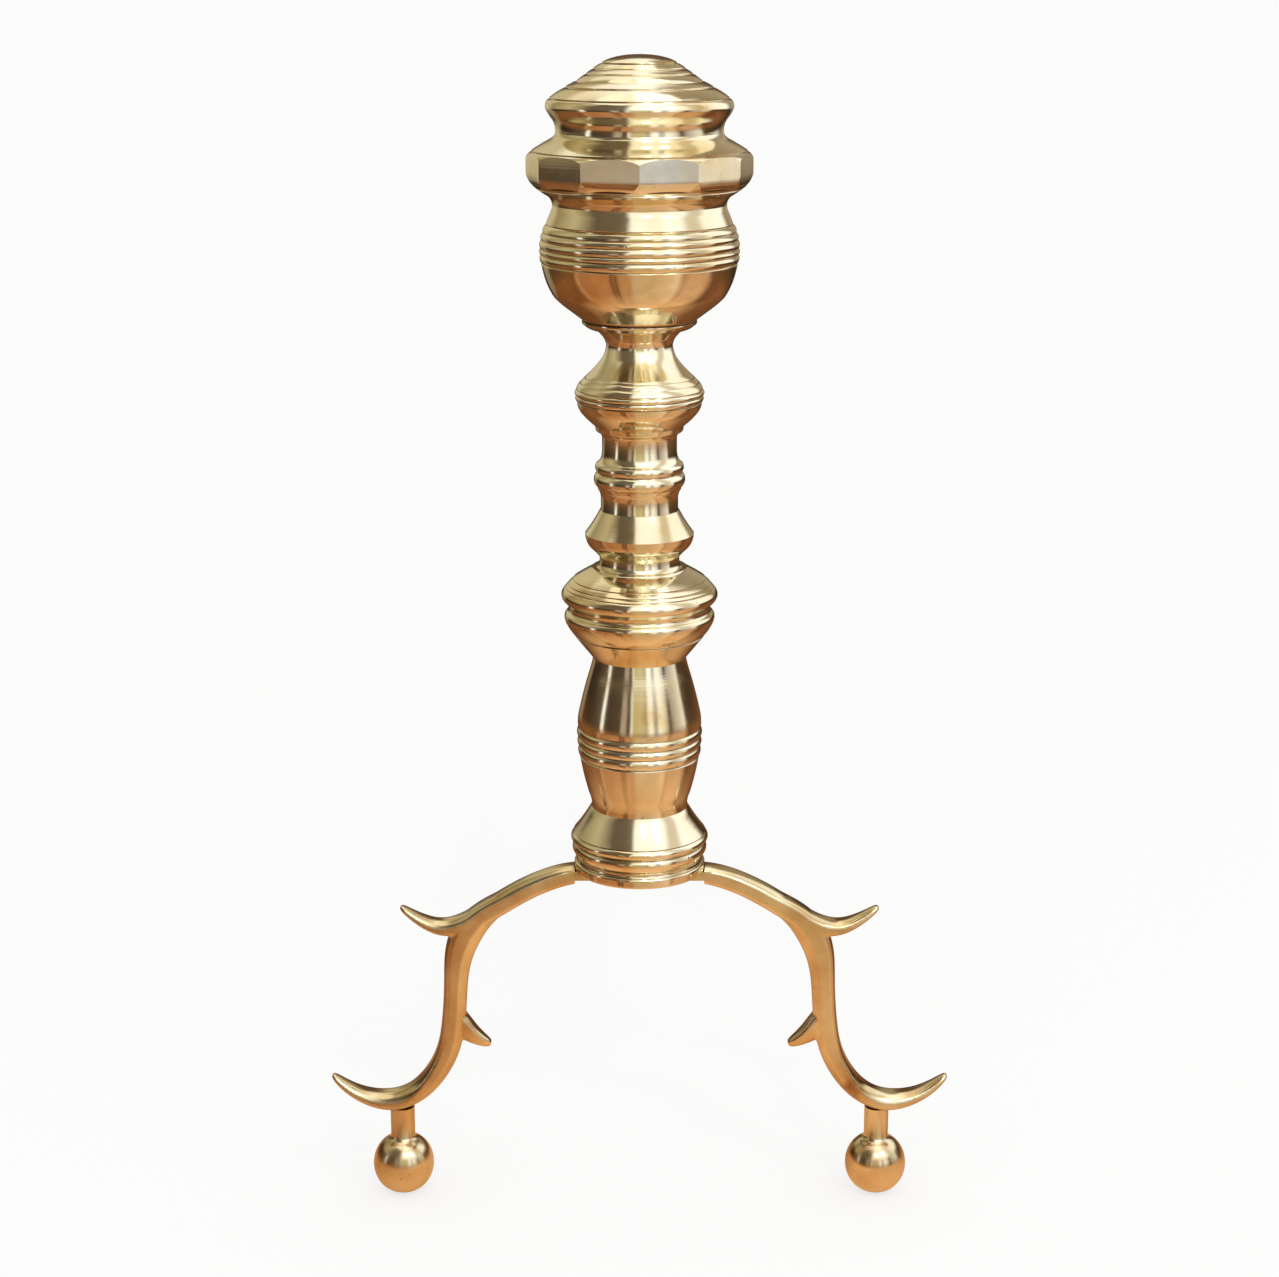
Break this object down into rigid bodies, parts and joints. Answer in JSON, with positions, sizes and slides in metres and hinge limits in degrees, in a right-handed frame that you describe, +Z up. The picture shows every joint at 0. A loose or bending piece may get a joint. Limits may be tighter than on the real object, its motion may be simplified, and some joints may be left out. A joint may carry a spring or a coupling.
{
  "type": "andiron",
  "caption": "Fireplace andiron: ring-turned brass column with a faceted finial, on branching spurred legs with ball feet, and an iron billet bar that holds logs.",
  "frame": {"origin": "on the hearth, under the centre of the part's bounding box", "axes": "+Z up along the column; the front faces -Y and the billet bar runs back along +Y; +X is the viewer's right from the front"},
  "size_m": [0.2798, 0.495, 0.508],
  "materials": {
    "polished_brass": "polished, with slight tarnish in the grooves",
    "cast_brass": "cast and hand polished, slightly dull",
    "forged_iron": "dark forged, dull"
  },
  "bodies": {
    "root": {"base_plate": "polished_brass", "plinth": "polished_brass", "barrel": "polished_brass", "double_disc": "polished_brass", "lower_knob": "polished_brass", "lower_sleeve": "polished_brass", "upper_sleeve": "polished_brass", "upper_knob": "polished_brass", "bowl_collar": "polished_brass", "finial_bowl": "polished_brass", "faceted_belt": "polished_brass", "finial_dome": "polished_brass", "right_leg": "cast_brass", "right_foot": "cast_brass", "right_leg_rivet": "cast_brass", "left_leg": "cast_brass", "left_foot": "cast_brass", "left_leg_rivet": "cast_brass", "tie_rod": "forged_iron", "billet_bar": "forged_iron", "rear_leg": "forged_iron"}
  },
  "joints": []
}
